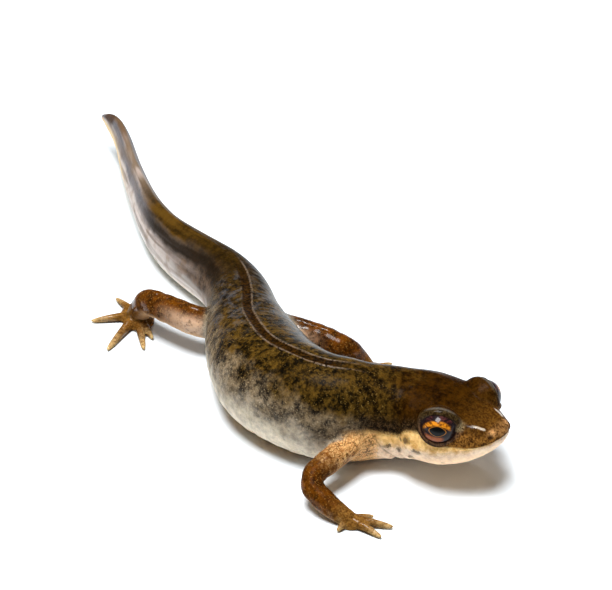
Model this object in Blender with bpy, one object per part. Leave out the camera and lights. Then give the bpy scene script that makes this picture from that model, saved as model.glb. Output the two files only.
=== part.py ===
"""Smooth newt, life size, walking: a still museum-type model of the whole animal.

The animal stands on the plane Z = 0 and faces +X, with the middle of its box over the
origin. Lengths are written in millimetres and turned into metres by MM. The body is a
loft along a spine whose plan is integrated back from the snout. The legs are lofts that
grow out of it, and every node stays GAP clear of its neighbours.
"""

import math

import bmesh
import bpy
import numpy as np
from mathutils import Vector

MM = 0.001

# The driving sizes of the animal, in millimetres, those along the spine from the snout
TOTAL_LENGTH = 77.0
GAP = 0.3
SNOUT_TIP = (34.93, 8.46)
BOX_MIDDLE = (-0.46, 0.98)
HEAD_END = 10.2
NECK_END = 13.0
CHEST_END = 18.6
TRUNK_MIDDLE = 24.6
TRUNK_END = 30.2
PELVIS_END = 37.4
TAIL_BASE_END = 48.0
TAIL_MIDDLE_END = 62.0

# Spine plan: distance from the snout, and heading of the body there in degrees from +X
SPINE = (
    (0.0, 20.0), (7.0, 21.0), (10.5, 44.0), (13.0, 56.0), (15.5, 49.0), (19.0, 20.0),
    (22.5, 1.0), (26.0, -14.0), (29.5, -20.0), (33.0, -25.0), (36.5, -26.0), (40.5, -9.0),
    (44.5, 9.0), (48.5, 5.0), (53.0, -9.0), (58.0, -17.0), (63.0, -19.0), (68.0, -21.0),
    (73.0, -12.0), (77.0, -3.0),
)

# Upward tilt of the sections in degrees: the head is held up, the rest is level
TILT = ((0.0, 9.0), (6.0, 9.0), (13.5, 1.0), (17.0, 0.0), (77.0, 0.0))

# Roll of the sections in degrees: the head leans a little to its left
ROLL = ((0.0, 4.0), (7.0, 4.0), (12.5, 0.0), (77.0, 0.0))

# Body sections: distance from the snout, height of the axis, reach above it, reach below
# it, half width, and how pointed the upper and lower quarters are (1 is an ellipse)
SECTIONS = (
    (0.00, 5.95, 0.25, 0.30, 0.35, 1.00, 1.00),
    (0.45, 5.75, 0.85, 0.80, 1.45, 0.90, 0.90),
    (1.60, 5.30, 1.55, 1.45, 2.60, 0.82, 0.85),
    (3.40, 4.90, 2.35, 2.25, 3.65, 0.76, 0.82),
    (5.60, 4.60, 3.30, 2.75, 4.35, 0.68, 0.80),
    (7.80, 4.30, 3.75, 2.90, 4.30, 0.72, 0.80),
    (10.20, 3.85, 4.45, 3.15, 3.75, 0.84, 0.84),
    (13.00, 3.95, 4.85, 3.80, 3.60, 0.90, 0.86),
    (15.50, 4.20, 5.05, 4.30, 3.95, 0.90, 0.86),
    (19.80, 4.30, 4.90, 4.30, 4.45, 0.90, 0.84),
    (24.00, 4.15, 4.40, 4.25, 4.95, 0.92, 0.84),
    (28.50, 4.00, 3.75, 4.10, 4.60, 0.92, 0.84),
    (32.00, 3.75, 3.35, 3.80, 4.05, 0.92, 0.86),
    (36.00, 3.25, 3.30, 3.35, 3.40, 0.94, 0.88),
    (40.50, 3.05, 3.40, 3.20, 2.95, 1.00, 0.94),
    (46.50, 3.10, 3.50, 3.25, 2.30, 1.10, 1.04),
    (52.50, 3.15, 3.20, 3.05, 1.80, 1.18, 1.12),
    (59.00, 3.10, 2.70, 2.60, 1.35, 1.22, 1.18),
    (65.00, 3.30, 2.25, 2.20, 1.10, 1.20, 1.18),
    (71.50, 3.80, 2.00, 1.45, 0.80, 1.15, 1.10),
    (75.00, 3.75, 1.10, 0.90, 0.50, 1.00, 1.00),
    (77.00, 3.60, 0.25, 0.25, 0.20, 1.00, 1.00),
)

# The head's own details: (distance from the snout, sideways, above the axis)
EYE_PLACE = (4.6, 3.15, 1.35)
EYE_RADIUS = 1.35
LID_THICKNESS = 0.25
LID_OPENING = 1.12
EYE_GAZE = (0.45, 0.76, 0.43)
NOSTRIL_PLACE = (0.75, 1.10, 0.60)
NOSTRIL_RADIUS = 0.22
MOUTH_CORNER = 7.3
MOUTH_DROP = (0.10, 1.05)
MOUTH_DEPTH = 0.28
MOUTH_HALF_WIDTH = 0.28
LIP_SWELL = 0.10

# Legs: points (X, Y, height) and radii from the root, which lies inside the trunk, then
# the shares of the length where the upper and lower leg end, and the toes
LEGS = {
    "foreleg_right": dict(
        points=((23.9, 0.9, 3.5), (25.9, -1.9, 3.3), (26.35, -4.2, 2.9), (26.5, -5.2, 2.65),
                (26.9, -6.0, 2.4), (27.7, -6.4, 2.0), (28.8, -6.2, 1.5), (30.6, -5.5, 0.75),
                (31.3, -5.1, 0.45)),
        radii=(1.35, 1.15, 1.10, 1.05, 0.98, 1.00, 1.00, 0.85, 0.75),
        palm=(31.3, -5.1), heading=28.0, palm_size=(1.15, 0.95),
        toes=((-104.0, 1.7), (-10.0, 3.4), (17.0, 3.8), (47.0, 2.2)),
    ),
    "foreleg_left": dict(
        points=((22.0, 2.2, 3.5), (20.2, 4.1, 3.3), (18.2, 6.3, 2.7), (19.1, 7.3, 1.8),
                (20.6, 8.1, 0.75), (21.5, 8.6, 0.45)),
        radii=(1.35, 1.10, 1.05, 1.10, 0.80, 0.75),
        palm=(21.4, 8.5), heading=38.0, palm_size=(1.10, 1.05),
        toes=((64.0, 1.9), (26.0, 3.2), (-8.0, 3.5), (-42.0, 2.2)),
    ),
    "hindleg_right": dict(
        points=((4.6, 0.2, 3.3), (2.6, -2.2, 3.35), (-0.2, -3.5, 3.5), (-2.9, -4.3, 3.3),
                (-4.3, -4.5, 1.9), (-5.1, -4.6, 0.7)),
        radii=(1.55, 1.45, 1.35, 1.25, 1.15, 1.05),
        palm=(-5.3, -4.5), heading=-105.0, palm_size=(1.60, 2.35),
        toes=((-74.0, 4.0), (-11.0, 4.5), (46.0, 6.0), (81.0, 5.4), (96.0, 4.0)),
    ),
    "hindleg_left": dict(
        points=((6.6, 2.6, 3.3), (8.4, 4.3, 3.3), (10.9, 5.7, 3.3), (13.1, 6.9, 2.9),
                (13.7, 8.2, 1.4), (14.4, 8.7, 0.55)),
        radii=(1.55, 1.35, 1.25, 1.20, 1.00, 0.85),
        palm=(14.6, 8.9), heading=10.0, palm_size=(1.35, 1.60),
        toes=((-45.0, 3.0), (-20.0, 3.9), (5.0, 4.3), (35.0, 3.4), (80.0, 2.5)),
    ),
}
SPLITS = (0.52, 0.86)
TOE_ROOT_RADIUS = 0.46
TOE_TIP_RADIUS = 0.30

# Colour, roughness and metallic value of each finish
FINISHES = {
    "back": ((0.085, 0.055, 0.028, 1.0), 0.32, 0.0),
    "head": ((0.16, 0.095, 0.035, 1.0), 0.32, 0.0),
    "tail": ((0.20, 0.13, 0.08, 1.0), 0.35, 0.0),
    "leg": ((0.22, 0.10, 0.035, 1.0), 0.38, 0.0),
    "foot": ((0.34, 0.22, 0.09, 1.0), 0.40, 0.0),
    "eye": ((0.03, 0.015, 0.008, 1.0), 0.08, 0.0),
}


def clear_scene():
    for old in list(bpy.data.objects):
        bpy.data.objects.remove(old, do_unlink=True)


def finish(name):
    """The material of a finish, made once."""
    material = bpy.data.materials.get(name)
    if material:
        return material
    colour, roughness, metallic = FINISHES[name]
    material = bpy.data.materials.new(name)
    material.use_nodes = True
    shader = material.node_tree.nodes["Principled BSDF"]
    shader.inputs["Base Color"].default_value = colour
    shader.inputs["Roughness"].default_value = roughness
    shader.inputs["Metallic"].default_value = metallic
    material.diffuse_color = colour
    return material


def smooth_through(stations, values, at):
    """A curve without overshoot through values at stations, read at the places at."""
    xs = np.asarray(stations, float)
    ys = np.asarray(values, float)
    step = np.diff(xs)
    rise = np.diff(ys) / step
    slope = np.empty_like(ys)
    slope[0], slope[-1] = rise[0], rise[-1]
    for i in range(1, len(xs) - 1):
        slope[i] = 0.0
        if rise[i - 1] * rise[i] > 0:
            a = 2 * step[i] + step[i - 1]
            b = step[i] + 2 * step[i - 1]
            slope[i] = (a + b) / (a / rise[i - 1] + b / rise[i])
    at = np.asarray(at, float)
    i = np.clip(np.searchsorted(xs, at) - 1, 0, len(step) - 1)
    t = (at - xs[i]) / step[i]
    return (
        (1 + 2 * t) * (1 - t) ** 2 * ys[i]
        + t * (1 - t) ** 2 * step[i] * slope[i]
        + t * t * (3 - 2 * t) * ys[i + 1]
        + t * t * (t - 1) * step[i] * slope[i + 1]
    )


def section_column(column, at):
    table = np.array(SECTIONS)
    return smooth_through(table[:, 0], table[:, column], at)


def spine_frame(at):
    """Centres, and unit forward, right and up vectors, of the body at distances at."""
    fine = np.linspace(0.0, TOTAL_LENGTH, 1541)
    plan = np.array(SPINE)
    heading = np.radians(smooth_through(plan[:, 0], plan[:, 1], fine))
    height = section_column(1, fine)
    tilt = np.array(TILT)
    pitch = np.radians(smooth_through(tilt[:, 0], tilt[:, 1], fine))
    lean = np.array(ROLL)
    roll = np.radians(smooth_through(lean[:, 0], lean[:, 1], fine))
    level = np.sqrt(1 - np.gradient(height, fine) ** 2)
    step = fine[1] - fine[0]
    back_x = np.cos(heading) * level
    back_y = np.sin(heading) * level
    x = SNOUT_TIP[0] - np.concatenate([[0], np.cumsum((back_x[1:] + back_x[:-1]) / 2 * step)])
    y = SNOUT_TIP[1] - np.concatenate([[0], np.cumsum((back_y[1:] + back_y[:-1]) / 2 * step)])
    x, y, heading, height, pitch, roll = (
        np.interp(at, fine, line) for line in (x, y, heading, height, pitch, roll)
    )
    forward = np.stack(
        [np.cos(heading) * np.cos(pitch), np.sin(heading) * np.cos(pitch), np.sin(pitch)], -1
    )
    level_right = np.stack([np.sin(heading), -np.cos(heading), 0 * heading], -1)
    upright = np.cross(level_right, forward)
    right = level_right * np.cos(roll)[..., None] + upright * np.sin(roll)[..., None]
    return np.stack([x, y, height], -1), forward, right, np.cross(right, forward)


def head_point(along, sideways, above):
    """A point given in the head's own directions: sideways is positive on the right."""
    centre, forward, right, up = spine_frame(np.array(along))
    return centre + right * sideways + up * above


def ring_shape(at, angles, swell):
    """Offsets (sideways, above) of the skin from the axis, swell millimetres proud."""
    above, below, wide, top, bottom = (section_column(k, at)[:, None] for k in range(2, 7))
    cosine = np.cos(angles)[None, :]
    sine = np.sin(angles)[None, :]
    pointed = np.where(sine > 0, top, bottom)
    reach = np.where(sine > 0, above, below)
    sideways = np.sign(cosine) * np.abs(cosine) ** pointed * (wide + swell)
    vertical = np.sign(sine) * np.abs(sine) ** pointed * (reach + swell)
    return sideways, vertical


def mouth_height(at):
    """The mouth line, measured up from the head's axis."""
    share = np.clip(at / MOUTH_CORNER, 0, 1)
    return -(MOUTH_DROP[0] + (MOUTH_DROP[1] - MOUTH_DROP[0]) * share**2)


def mouth_carving(at, vertical):
    """How far the skin sinks into the mouth line, less the swell of the lips beside it."""
    from_line = np.abs(vertical - mouth_height(at)[:, None]) / MOUTH_HALF_WIDTH
    ends = np.clip((MOUTH_CORNER + 0.3 - at) / 0.6, 0, 1)[:, None]
    groove = MOUTH_DEPTH * np.clip(1 - from_line, 0, 1)
    lips = LIP_SWELL * np.clip(1 - np.abs(from_line - 1.9), 0, 1)
    return ends * (groove - lips)


def grow_lids(points, eye):
    """Pushes skin near an eye out onto a dome, which the lids are then cut from."""
    dome = EYE_RADIUS + GAP + LID_THICKNESS
    away = points - eye
    distance = np.linalg.norm(away, axis=-1, keepdims=True)
    pushed = eye + away / np.maximum(distance, 1e-6) * dome
    return np.where(distance < dome, pushed, points)


def body_rings(at, around, swell=0.0, detail=False):
    """Rings of skin points at distances at, around points each."""
    angles = np.linspace(0, 2 * math.pi, around, endpoint=False)
    centre, forward, right, up = spine_frame(at)
    sideways, vertical = ring_shape(at, angles, swell)
    if detail:
        carve = mouth_carving(at, vertical)
        length = np.maximum(np.hypot(sideways, vertical), 1e-6)
        shrink = 1 - np.minimum(carve / length, 0.5)
        sideways = sideways * shrink
        vertical = vertical * shrink
    points = centre[:, None] + right[:, None] * sideways[..., None] + up[:, None] * vertical[..., None]
    if detail:
        for side in (1, -1):
            points = grow_lids(points, head_point(EYE_PLACE[0], side * EYE_PLACE[1], EYE_PLACE[2]))
    points[..., 2] = np.maximum(points[..., 2], 0.0)
    return points


def mesh_object(name, rings, start=None, end=None):
    """A closed loft through rings, its ends drawn to the points start and end."""
    rows, around = rings.shape[:2]
    start = rings[0].mean(axis=0) if start is None else start
    end = rings[-1].mean(axis=0) if end is None else end
    points = np.concatenate([rings.reshape(-1, 3), [start, end]])
    points = (points - (*BOX_MIDDLE, 0.0)) * MM
    faces = []
    for i in range(rows - 1):
        for k in range(around):
            a = i * around + k
            b = i * around + (k + 1) % around
            c = b + around
            d = a + around
            faces.append((a, b, c))
            faces.append((a, c, d))
    first = rows * around
    for k in range(around):
        following = (k + 1) % around
        faces.append((first, following, k))
        last_row = (rows - 1) * around
        faces.append((first + 1, last_row + k, last_row + following))
    mesh = bpy.data.meshes.new(name)
    mesh.from_pydata([tuple(p) for p in points], [], faces)
    mesh.update()
    made = bpy.data.objects.new(name, mesh)
    bpy.context.scene.collection.objects.link(made)
    face_outwards(made)
    return made


def face_outwards(target):
    work = bmesh.new()
    work.from_mesh(target.data)
    bmesh.ops.recalc_face_normals(work, faces=work.faces)
    if work.calc_volume(signed=True) < 0:
        bmesh.ops.reverse_faces(work, faces=work.faces)
    work.to_mesh(target.data)
    work.free()


def keep_largest(target):
    """Leaves only the largest closed surface of a mesh."""
    work = bmesh.new()
    work.from_mesh(target.data)
    unseen = set(work.verts)
    groups = []
    while unseen:
        stack = [unseen.pop()]
        group = set(stack)
        while stack:
            for edge in stack.pop().link_edges:
                for vertex in edge.verts:
                    if vertex in unseen:
                        unseen.discard(vertex)
                        group.add(vertex)
                        stack.append(vertex)
        groups.append(group)
    biggest = max(groups, key=len)
    spare = [v for v in work.verts if v not in biggest]
    bmesh.ops.delete(work, geom=spare, context="VERTS")
    bmesh.ops.triangulate(work, faces=work.faces)
    work.to_mesh(target.data)
    work.free()


def apply_boolean(target, tools, operation):
    """One Boolean with all the tools, applied, and the tools removed."""
    collection = bpy.data.collections.new("boolean_tools")
    for tool in tools:
        bpy.context.scene.collection.objects.unlink(tool)
        collection.objects.link(tool)
    bpy.context.scene.collection.children.link(collection)
    step = target.modifiers.new("boolean", "BOOLEAN")
    step.operation = operation
    step.operand_type = "COLLECTION"
    step.collection = collection
    step.solver = "EXACT"
    bpy.context.view_layer.update()
    view = bpy.context.evaluated_depsgraph_get()
    result = bpy.data.meshes.new_from_object(target.evaluated_get(view))
    target.modifiers.clear()
    target.data = result
    for tool in tools:
        bpy.data.objects.remove(tool, do_unlink=True)
    bpy.data.collections.remove(collection)
    keep_largest(target)


def dress(target, name):
    target.data.materials.clear()
    target.data.materials.append(finish(name))
    target.data.shade_smooth()
    target.data.set_sharp_from_angle(angle=math.radians(50))


def ball(name, centre, radius, segments, rings):
    """A closed sphere, its poles up and down."""
    heights = np.linspace(-1, 1, rings + 2)[1:-1] * math.pi / 2
    turn = np.linspace(0, 2 * math.pi, segments, endpoint=False)
    rows = [
        [
            (
                centre[0] + radius * math.cos(h) * math.cos(t),
                centre[1] + radius * math.cos(h) * math.sin(t),
                centre[2] + radius * math.sin(h),
            )
            for t in turn
        ]
        for h in heights
    ]
    low = np.array(centre) - (0, 0, radius)
    high = np.array(centre) + (0, 0, radius)
    return mesh_object(name, np.array(rows), low, high)


def rod(name, start, end, start_radius, end_radius, segments):
    """A tapered round rod between two points."""
    start = Vector(start)
    end = Vector(end)
    axis = (end - start).normalized()
    side = axis.orthogonal().normalized()
    other = axis.cross(side)
    rows = []
    for centre, radius in ((start, start_radius), (end, end_radius)):
        rows.append(
            [
                tuple(centre + (side * math.cos(t) + other * math.sin(t)) * radius)
                for t in np.linspace(0, 2 * math.pi, segments, endpoint=False)
            ]
        )
    return mesh_object(name, np.array(rows))


def eye_axes(side):
    """Centre of an eye and the direction it looks, side 1 on the right."""
    centre, forward, right, up = spine_frame(np.array(EYE_PLACE[0]))
    gaze = forward * EYE_GAZE[0] + right * side * EYE_GAZE[1] + up * EYE_GAZE[2]
    return head_point(EYE_PLACE[0], side * EYE_PLACE[1], EYE_PLACE[2]), gaze / np.linalg.norm(gaze)


def build_head():
    near = np.linspace(0.0, 1.6, 6)[1:]
    far = np.linspace(1.6, HEAD_END - GAP / 2, 24)[1:]
    at = np.concatenate([[0.12], near, far])
    rings = body_rings(at, 56, detail=True)
    tip = head_point(0.0, 0.0, 0.0)
    head = mesh_object("head", rings, start=tip)
    cutters = []
    for side in (1, -1):
        eye, gaze = eye_axes(side)
        cutters.append(ball("socket", eye, EYE_RADIUS + GAP, 20, 13))
        mouth_of_socket = eye + gaze * (EYE_RADIUS + 3.0)
        cutters.append(rod("opening", eye, mouth_of_socket, LID_OPENING, LID_OPENING + 0.55, 20))
        nostril = head_point(NOSTRIL_PLACE[0], side * NOSTRIL_PLACE[1], NOSTRIL_PLACE[2])
        outside = head_point(NOSTRIL_PLACE[0] - 0.7, side * (NOSTRIL_PLACE[1] + 0.9), 0.6)
        cutters.append(rod("nostril", nostril, outside, NOSTRIL_RADIUS, NOSTRIL_RADIUS, 8))
    apply_boolean(head, cutters, "DIFFERENCE")
    dress(head, "head")


def build_eyes():
    for side, name in ((1, "eye_right"), (-1, "eye_left")):
        eye, gaze = eye_axes(side)
        made = ball(name, eye, EYE_RADIUS, 20, 13)
        dress(made, "eye")


def build_length(name, begin, end, step, around, material):
    """A length of the body between two cuts, half a gap short at each."""
    tail_end = end >= TOTAL_LENGTH
    first = begin + GAP / 2
    last = TOTAL_LENGTH - 0.25 if tail_end else end - GAP / 2
    at = np.linspace(first, last, max(3, int(round((last - first) / step)) + 1))
    tip = head_point(TOTAL_LENGTH, 0.0, 0.0) if tail_end else None
    made = mesh_object(name, body_rings(at, around), end=tip)
    dress(made, material)


def leg_path(leg, count):
    """Evenly spaced centres and radii along a leg."""
    points = np.array(leg["points"])
    chord = np.concatenate([[0], np.cumsum(np.linalg.norm(np.diff(points, axis=0), axis=1))])
    fine = np.linspace(0, chord[-1], 200)
    line = np.stack([smooth_through(chord, points[:, k], fine) for k in range(3)], -1)
    run = np.concatenate([[0], np.cumsum(np.linalg.norm(np.diff(line, axis=0), axis=1))])
    radius = smooth_through(chord, leg["radii"], fine)
    even = np.linspace(0, run[-1], count)
    centres = np.stack([np.interp(even, run, line[:, k]) for k in range(3)], -1)
    return centres, np.interp(even, run, radius), run[-1]


def tube_rings(centres, radii, around, flatten=1.0):
    """Round rings square to a path. flatten squeezes them in height."""
    along = np.gradient(centres, axis=0)
    along /= np.linalg.norm(along, axis=1)[:, None]
    side = np.cross(along, (0, 0, 1.0))
    side /= np.linalg.norm(side, axis=1)[:, None]
    other = np.cross(side, along)
    turn = np.linspace(0, 2 * math.pi, around, endpoint=False)
    ring = (
        side[:, None] * np.cos(turn)[None, :, None]
        + other[:, None] * np.sin(turn)[None, :, None] * flatten
    )
    return centres[:, None] + ring * radii[:, None, None]


def leg_piece(name, leg, begin, end, around=12, count=60):
    """The stretch of a leg between two shares of its length."""
    centres, radii, length = leg_path(leg, count)
    shares = np.linspace(0, 1, count)
    wanted = np.linspace(begin, end, max(3, int(round((end - begin) * length / 0.9)) + 1))
    picked = np.stack([np.interp(wanted, shares, centres[:, k]) for k in range(3)], -1)
    rings = tube_rings(centres, radii, around)
    flat = rings.reshape(count, -1)
    rows = np.stack([np.interp(wanted, shares, flat[:, k]) for k in range(flat.shape[1])], -1)
    rows = rows.reshape(len(wanted), around, 3)
    rows[..., 2] = np.maximum(rows[..., 2], 0.0)
    return mesh_object(name, rows, picked[0], picked[-1])


def toe(name, root, heading, length):
    """A tapered toe that lies on the floor, its knuckle a little raised."""
    share = np.array([0.0, 0.25, 0.5, 0.75, 0.93])
    reach = share * length
    turned = math.radians(heading)
    centres = np.stack(
        [
            root[0] + np.cos(turned) * reach,
            root[1] + np.sin(turned) * reach,
            0.52 - 0.26 * share,
        ],
        -1,
    )
    radii = TOE_ROOT_RADIUS + (TOE_TIP_RADIUS - TOE_ROOT_RADIUS) * share
    rings = tube_rings(centres, radii, 8)
    rings[..., 2] = np.maximum(rings[..., 2], -0.1)
    tip = (root[0] + np.cos(turned) * length, root[1] + np.sin(turned) * length, 0.24)
    return mesh_object(name, rings, end=tip)


def build_foot(name, leg):
    """Wrist, palm and toes as one solid with a flat sole."""
    length = leg_path(leg, 60)[2]
    wrist = leg_piece(name, leg, SPLITS[1] + GAP / 2 / length, 1.0)
    palm_x, palm_y = leg["palm"]
    long_half, wide_half = leg["palm_size"]
    heading = math.radians(leg["heading"])
    ahead = np.array([math.cos(heading), math.sin(heading)])
    across = np.array([-math.sin(heading), math.cos(heading)])
    heights = np.array([-0.12, 0.2, 0.5, 0.72])
    widths = np.array([0.95, 1.0, 0.86, 0.5])
    turn = np.linspace(0, 2 * math.pi, 14, endpoint=False)
    rows = []
    for height, width in zip(heights, widths):
        plan = (
            np.array([palm_x, palm_y])
            + ahead * (np.cos(turn) * long_half * width)[:, None]
            + across * (np.sin(turn) * wide_half * width)[:, None]
        )
        rows.append(np.column_stack([plan, np.full(len(turn), height)]))
    palm = mesh_object("palm", np.array(rows))
    pieces = [palm]
    for turned, reach in leg["toes"]:
        pieces.append(toe("toe", (palm_x, palm_y), leg["heading"] + turned, reach))
    apply_boolean(wrist, pieces, "UNION")
    floor = floor_block()
    apply_boolean(wrist, [floor], "DIFFERENCE")
    dress(wrist, "foot")


def floor_block():
    """A block under the floor plane, which cuts every sole at one level."""
    corners = np.array([(60.0, 40.0), (-60.0, 40.0), (-60.0, -40.0), (60.0, -40.0)])
    rows = [np.column_stack([corners, np.full(4, z)]) for z in (-5.0, 0.0)]
    return mesh_object("floor", np.array(rows))


def build_leg(name, leg):
    length = leg_path(leg, 60)[2]
    half = GAP / 2 / length
    upper = leg_piece(name + "_upper", leg, 0.0, SPLITS[0] - half)
    hull = mesh_object("trunk_with_gap", body_rings(np.linspace(8.0, 44.0, 60), 40, swell=GAP))
    apply_boolean(upper, [hull], "DIFFERENCE")
    dress(upper, "leg")
    lower = leg_piece(name + "_lower", leg, SPLITS[0] + half, SPLITS[1] - half)
    dress(lower, "leg")
    build_foot(name + "_foot", leg)


def build():
    clear_scene()
    build_head()
    build_eyes()
    build_length("neck", HEAD_END, NECK_END, 0.9, 36, "back")
    build_length("chest", NECK_END, CHEST_END, 1.0, 36, "back")
    build_length("trunk_front", CHEST_END, TRUNK_MIDDLE, 1.1, 36, "back")
    build_length("trunk_rear", TRUNK_MIDDLE, TRUNK_END, 1.2, 36, "back")
    build_length("pelvis", TRUNK_END, PELVIS_END, 1.2, 36, "back")
    build_length("tail_base", PELVIS_END, TAIL_BASE_END, 1.3, 30, "tail")
    build_length("tail_middle", TAIL_BASE_END, TAIL_MIDDLE_END, 1.5, 26, "tail")
    build_length("tail_tip", TAIL_MIDDLE_END, TOTAL_LENGTH, 1.3, 22, "tail")
    for name, leg in LEGS.items():
        build_leg(name, leg)


build()
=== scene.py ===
# %% [markdown]
# # A smooth newt, walking
#
# A small adult smooth newt, 77 mm along its spine, crosses a pale table with its trunk bent
# and its head up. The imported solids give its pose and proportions. This lesson grows one
# seamless skin over them, carves lids, lips, folds and wrinkles into it, paints the markings
# with procedural nodes, and sets two wet eyes in the head.

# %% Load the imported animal
import math

import bpy
import numpy as np
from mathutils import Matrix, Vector


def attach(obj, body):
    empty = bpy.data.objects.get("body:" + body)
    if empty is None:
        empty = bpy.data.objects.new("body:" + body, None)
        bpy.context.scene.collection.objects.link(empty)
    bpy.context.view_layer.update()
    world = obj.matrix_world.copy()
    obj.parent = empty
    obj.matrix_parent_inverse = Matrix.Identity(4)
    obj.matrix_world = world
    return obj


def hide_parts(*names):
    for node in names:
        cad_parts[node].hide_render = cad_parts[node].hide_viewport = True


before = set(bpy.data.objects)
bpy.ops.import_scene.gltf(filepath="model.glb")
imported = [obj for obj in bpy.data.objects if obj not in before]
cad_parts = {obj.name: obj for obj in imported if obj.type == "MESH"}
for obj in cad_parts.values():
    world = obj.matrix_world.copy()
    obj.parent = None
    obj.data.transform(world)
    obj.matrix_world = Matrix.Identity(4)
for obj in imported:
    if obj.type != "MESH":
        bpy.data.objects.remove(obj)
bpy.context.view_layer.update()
print("the packed newt has", len(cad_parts), "solids")

# %% [markdown]
# ## The sizes that drive everything
# A newt's body is a soft tube round a spine. Its plan is a list of headings, met while
# walking back from the snout, and its girth is a short table of cross-sections. All lengths
# are millimetres in this file, and MM turns them into metres at the very end.

# %% The spine and the sections
MM = 0.001
TOTAL_LENGTH = 77.0
SNOUT_TIP = (34.93, 8.46)
BOX_MIDDLE = (-0.46, 0.98)

# Distance from the snout, and the body's heading there in degrees from +X
SPINE = (
    (0.0, 20.0), (7.0, 21.0), (10.5, 44.0), (13.0, 56.0), (15.5, 49.0), (19.0, 20.0),
    (22.5, 1.0), (26.0, -14.0), (29.5, -20.0), (33.0, -25.0), (36.5, -26.0), (40.5, -9.0),
    (44.5, 9.0), (48.5, 5.0), (53.0, -9.0), (58.0, -17.0), (63.0, -19.0), (68.0, -21.0),
    (73.0, -12.0), (77.0, -3.0),
)

# Tilt upwards, and lean to the left, of the sections in degrees: only the head has either
TILT = ((0.0, 9.0), (6.0, 9.0), (13.5, 1.0), (17.0, 0.0), (77.0, 0.0))
ROLL = ((0.0, 4.0), (7.0, 4.0), (12.5, 0.0), (77.0, 0.0))

# Distance, height of the axis, reach above it, reach below it, half width, and how pointed
# the upper and lower quarters are
SECTIONS = (
    (0.00, 5.95, 0.25, 0.30, 0.35, 1.00, 1.00),
    (0.45, 5.75, 0.85, 0.80, 1.45, 0.90, 0.90),
    (1.60, 5.30, 1.55, 1.45, 2.60, 0.82, 0.85),
    (3.40, 4.90, 2.35, 2.25, 3.65, 0.76, 0.82),
    (5.60, 4.60, 3.30, 2.75, 4.35, 0.68, 0.80),
    (7.80, 4.30, 3.75, 2.90, 4.30, 0.72, 0.80),
    (10.20, 3.85, 4.45, 3.15, 3.75, 0.84, 0.84),
    (13.00, 3.95, 4.85, 3.80, 3.60, 0.90, 0.86),
    (15.50, 4.20, 5.05, 4.30, 3.95, 0.90, 0.86),
    (19.80, 4.30, 4.90, 4.30, 4.45, 0.90, 0.84),
    (24.00, 4.15, 4.40, 4.25, 4.95, 0.92, 0.84),
    (28.50, 4.00, 3.75, 4.10, 4.60, 0.92, 0.84),
    (32.00, 3.75, 3.35, 3.80, 4.05, 0.92, 0.86),
    (36.00, 3.25, 3.30, 3.35, 3.40, 0.94, 0.88),
    (40.50, 3.05, 3.40, 3.20, 2.95, 1.00, 0.94),
    (46.50, 3.10, 3.50, 3.25, 2.30, 1.10, 1.04),
    (52.50, 3.15, 3.20, 3.05, 1.80, 1.18, 1.12),
    (59.00, 3.10, 2.70, 2.60, 1.35, 1.22, 1.18),
    (65.00, 3.30, 2.25, 2.20, 1.10, 1.20, 1.18),
    (71.50, 3.80, 2.00, 1.45, 0.80, 1.15, 1.10),
    (75.00, 3.75, 1.10, 0.90, 0.50, 1.00, 1.00),
    (77.00, 3.60, 0.25, 0.25, 0.20, 1.00, 1.00),
)


def smooth_through(stations, values, at):
    """A curve without overshoot through values at stations, read at the places at."""
    xs = np.asarray(stations, float)
    ys = np.asarray(values, float)
    step = np.diff(xs)
    rise = np.diff(ys) / step
    slope = np.empty_like(ys)
    slope[0], slope[-1] = rise[0], rise[-1]
    for i in range(1, len(xs) - 1):
        slope[i] = 0.0
        if rise[i - 1] * rise[i] > 0:
            a = 2 * step[i] + step[i - 1]
            b = step[i] + 2 * step[i - 1]
            slope[i] = (a + b) / (a / rise[i - 1] + b / rise[i])
    at = np.asarray(at, float)
    i = np.clip(np.searchsorted(xs, at) - 1, 0, len(step) - 1)
    t = (at - xs[i]) / step[i]
    return (
        (1 + 2 * t) * (1 - t) ** 2 * ys[i]
        + t * (1 - t) ** 2 * step[i] * slope[i]
        + t * t * (3 - 2 * t) * ys[i + 1]
        + t * t * (t - 1) * step[i] * slope[i + 1]
    )


# The spine is worked out once, in fine steps, and then only read between its points
STEP = 0.05
FINE = np.linspace(0.0, TOTAL_LENGTH, round(TOTAL_LENGTH / STEP) + 1)
SECTION_LINES = [
    smooth_through([row[0] for row in SECTIONS], [row[k] for row in SECTIONS], FINE)
    for k in range(1, 7)
]
heading = np.radians(smooth_through(*zip(*SPINE), FINE))
pitch = np.radians(smooth_through(*zip(*TILT), FINE))
roll = np.radians(smooth_through(*zip(*ROLL), FINE))
level_share = np.sqrt(1 - np.gradient(SECTION_LINES[0], FINE) ** 2)
step_x = np.cos(heading) * level_share
step_y = np.sin(heading) * level_share
SPINE_X, SPINE_Y = (
    tip - np.concatenate([[0], np.cumsum((part[1:] + part[:-1]) * STEP / 2)])
    for tip, part in zip(SNOUT_TIP, (step_x, step_y))
)


def section(at):
    """Reach above, reach below, half width and the two pointednesses at distances at."""
    return [np.interp(at, FINE, line) for line in SECTION_LINES[1:]]


def spine_frame(at):
    """Centres, and unit forward, right and up vectors, of the body at distances at."""
    x, y, turned, height, raised, leant = (
        np.interp(at, FINE, line)
        for line in (SPINE_X, SPINE_Y, heading, SECTION_LINES[0], pitch, roll)
    )
    forward = np.stack(
        [np.cos(turned) * np.cos(raised), np.sin(turned) * np.cos(raised), np.sin(raised)], -1
    )
    level_right = np.stack([np.sin(turned), -np.cos(turned), 0 * turned], -1)
    upright = np.cross(level_right, forward)
    right = level_right * np.cos(leant)[..., None] + upright * np.sin(leant)[..., None]
    return np.stack([x, y, height], -1), forward, right, np.cross(right, forward)


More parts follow.
